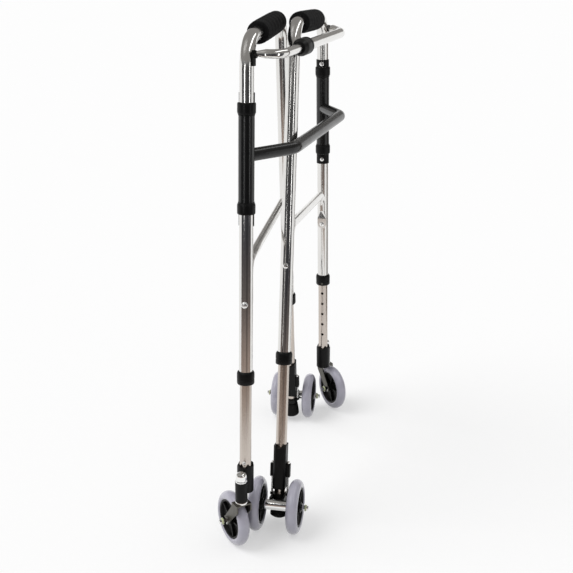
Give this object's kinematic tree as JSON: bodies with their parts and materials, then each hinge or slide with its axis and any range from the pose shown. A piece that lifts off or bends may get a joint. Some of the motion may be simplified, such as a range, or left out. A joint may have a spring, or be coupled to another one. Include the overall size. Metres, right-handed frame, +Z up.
{
  "type": "front wheeled walker",
  "caption": "Folding walker shown folded: two hinged side frames on a front crossbar, swivel casters in front, twin wheels with sprung rubber brake tips behind.",
  "frame": {"origin": "on the floor, midway between the two front legs", "axes": "+X to the user's right, +Y forward (the way the walker is pushed), +Z up"},
  "size_m": [0.6888, 0.2207, 0.9284],
  "materials": {
    "polished_aluminium": "polished",
    "satin_aluminium": "satin anodised",
    "black_enamel": "semi-gloss",
    "black_plastic": "moulded, semi-matt",
    "black_foam": "matt foam",
    "black_rubber": "matt",
    "grey_tyre": "glossy solid tyre",
    "bright_steel": "bright plated",
    "dark_steel": "satin"
  },
  "bodies": {
    "front_link": {"lower_crossbar": "black_enamel", "upper_bar": "polished_aluminium", "upper_bar_arm": "polished_aluminium", "bar_ferrule": "black_plastic", "bar_clips": "black_plastic", "right_sleeve": "black_enamel", "left_sleeve": "black_enamel", "sleeve_collars": "black_plastic"},
    "right_side_frame": {"right_frame": "polished_aluminium", "right_grip": "black_foam", "right_brace": "polished_aluminium", "right_rivets": "bright_steel", "right_stop_clips": "black_plastic", "right_leg_collars": "black_plastic"},
    "right_fold_button_body": {"right_fold_button": "bright_steel"},
    "right_front_pin_body": {"right_front_pin": "dark_steel"},
    "right_rear_pin_body": {"right_rear_pin": "dark_steel"},
    "right_front_leg_extension": {"right_front_extension": "satin_aluminium", "right_caster_socket": "black_plastic", "right_caster_cap": "bright_steel"},
    "right_caster_swivel": {"right_caster_fork": "dark_steel", "right_caster_bolt": "bright_steel"},
    "right_caster_wheel": {"right_caster_tyre": "grey_tyre", "right_caster_hub": "black_plastic"},
    "right_rear_leg_extension": {"right_rear_extension": "satin_aluminium", "right_brake_housing": "black_plastic", "right_brake_tip": "black_rubber"},
    "right_brake_carriage": {"right_brake_bracket": "black_plastic", "right_brake_springs": "bright_steel", "right_rear_axle": "bright_steel"},
    "right_inner_wheel": {"right_inner_tyre": "grey_tyre", "right_inner_hub": "black_plastic"},
    "right_outer_wheel": {"right_outer_tyre": "grey_tyre", "right_outer_hub": "black_plastic"},
    "left_side_frame": {"left_frame": "polished_aluminium", "left_grip": "black_foam", "left_brace": "polished_aluminium", "left_rivets": "bright_steel", "left_stop_clips": "black_plastic", "left_leg_collars": "black_plastic"},
    "left_fold_button_body": {"left_fold_button": "bright_steel"},
    "left_front_pin_body": {"left_front_pin": "dark_steel"},
    "left_rear_pin_body": {"left_rear_pin": "dark_steel"},
    "left_front_leg_extension": {"left_front_extension": "satin_aluminium", "left_caster_socket": "black_plastic", "left_caster_cap": "bright_steel"},
    "left_caster_swivel": {"left_caster_fork": "dark_steel", "left_caster_bolt": "bright_steel"},
    "left_caster_wheel": {"left_caster_tyre": "grey_tyre", "left_caster_hub": "black_plastic"},
    "left_rear_leg_extension": {"left_rear_extension": "satin_aluminium", "left_brake_housing": "black_plastic", "left_brake_tip": "black_rubber"},
    "left_brake_carriage": {"left_brake_bracket": "black_plastic", "left_brake_springs": "bright_steel", "left_rear_axle": "bright_steel"},
    "left_inner_wheel": {"left_inner_tyre": "grey_tyre", "left_inner_hub": "black_plastic"},
    "left_outer_wheel": {"left_outer_tyre": "grey_tyre", "left_outer_hub": "black_plastic"}
  },
  "joints": [
    {"name": "right_fold", "type": "hinge", "parent": "front_link", "child": "right_side_frame", "pos_m": [0.26337, 0, 0.69904], "axis": [-0.0523, 0, 0.9986], "range_deg": [0, 84]},
    {"name": "right_fold_button_press", "type": "slide", "parent": "right_side_frame", "child": "right_fold_button_body", "axis": [0.9932, 0.1045, 0.052], "range_m": [0, 0.0035], "stiffness_N_per_m": 600, "springref_m": -0.001},
    {"name": "right_front_pin_press", "type": "slide", "parent": "right_side_frame", "child": "right_front_pin_body", "axis": [0.9932, 0.1045, 0.052], "range_m": [0, 0.0035], "stiffness_N_per_m": 600, "springref_m": -0.001},
    {"name": "right_rear_pin_press", "type": "slide", "parent": "right_side_frame", "child": "right_rear_pin_body", "axis": [-0.9789, -0.1018, 0.1774], "range_m": [0, 0.0035], "stiffness_N_per_m": 600, "springref_m": -0.001},
    {"name": "right_front_leg_length", "type": "slide", "parent": "right_side_frame", "child": "right_front_leg_extension", "axis": [0.0523, 0, -0.9986], "range_m": [-0.0762, 0]},
    {"name": "right_caster_swivel_turn", "type": "hinge", "parent": "right_front_leg_extension", "child": "right_caster_swivel", "pos_m": [0.32674, 0.00334, 0.12], "axis": [0, 0, 1], "range_deg": [-5, 125]},
    {"name": "right_caster_roll", "type": "hinge", "parent": "right_caster_swivel", "child": "right_caster_wheel", "pos_m": [0.30382, -0.02039, 0.0508], "axis": [0.7193, -0.6947, 0], "continuous": true},
    {"name": "right_rear_leg_length", "type": "slide", "parent": "right_side_frame", "child": "right_rear_leg_extension", "axis": [-0.1758, -0.0239, -0.9841], "range_m": [-0.0508, 0.0762]},
    {"name": "right_brake_press", "type": "slide", "parent": "right_rear_leg_extension", "child": "right_brake_carriage", "axis": [0.1758, 0.0239, 0.9841], "range_m": [0, 0.01], "stiffness_N_per_m": 2000, "springref_m": -0.01},
    {"name": "right_inner_roll", "type": "hinge", "parent": "right_brake_carriage", "child": "right_inner_wheel", "pos_m": [-0.24251, -0.02046, 0.05076], "axis": [0.1044, -0.9945, 0.0055], "continuous": true},
    {"name": "right_outer_roll", "type": "hinge", "parent": "right_brake_carriage", "child": "right_outer_wheel", "pos_m": [-0.23499, -0.09207, 0.05115], "axis": [0.1044, -0.9945, 0.0055], "continuous": true},
    {"name": "left_fold", "type": "hinge", "parent": "front_link", "child": "left_side_frame", "pos_m": [-0.26337, 0, 0.69904], "axis": [0.0523, 0, 0.9986], "range_deg": [-0.8, 0.8]},
    {"name": "left_fold_button_press", "type": "slide", "parent": "left_side_frame", "child": "left_fold_button_body", "axis": [-0.9956, -0.0785, 0.0522], "range_m": [0, 0.0035], "stiffness_N_per_m": 600, "springref_m": -0.001},
    {"name": "left_front_pin_press", "type": "slide", "parent": "left_side_frame", "child": "left_front_pin_body", "axis": [-0.9956, -0.0785, 0.0522], "range_m": [0, 0.0035], "stiffness_N_per_m": 600, "springref_m": -0.001},
    {"name": "left_rear_pin_press", "type": "slide", "parent": "left_side_frame", "child": "left_rear_pin_body", "axis": [0.9812, 0.0764, 0.1772], "range_m": [0, 0.0035], "stiffness_N_per_m": 600, "springref_m": -0.001},
    {"name": "left_front_leg_length", "type": "slide", "parent": "left_side_frame", "child": "left_front_leg_extension", "axis": [-0.0523, 0, -0.9986], "range_m": [-0.0762, 0.0254]},
    {"name": "left_caster_swivel_turn", "type": "hinge", "parent": "left_front_leg_extension", "child": "left_caster_swivel", "pos_m": [-0.32682, -0.00251, 0.12], "axis": [0, 0, 1], "range_deg": [-12, 245]},
    {"name": "left_caster_roll", "type": "hinge", "parent": "left_caster_swivel", "child": "left_caster_wheel", "pos_m": [-0.30328, 0.02062, 0.0508], "axis": [0.7009, -0.7133, 0], "continuous": true},
    {"name": "left_rear_leg_length", "type": "slide", "parent": "left_side_frame", "child": "left_rear_leg_extension", "axis": [0.1764, 0.0179, -0.9842], "range_m": [-0.0254, 0.0762]},
    {"name": "left_brake_press", "type": "slide", "parent": "left_rear_leg_extension", "child": "left_brake_carriage", "axis": [-0.1764, -0.0179, 0.9842], "range_m": [0, 0.01], "stiffness_N_per_m": 2000, "springref_m": -0.01},
    {"name": "left_inner_roll", "type": "hinge", "parent": "left_brake_carriage", "child": "left_inner_wheel", "pos_m": [0.23722, 0.07812, 0.05103], "axis": [0.0784, -0.9969, -0.0041], "continuous": true},
    {"name": "left_outer_roll", "type": "hinge", "parent": "left_brake_carriage", "child": "left_outer_wheel", "pos_m": [0.24286, 0.00634, 0.05074], "axis": [0.0784, -0.9969, -0.0041], "continuous": true}
  ]
}
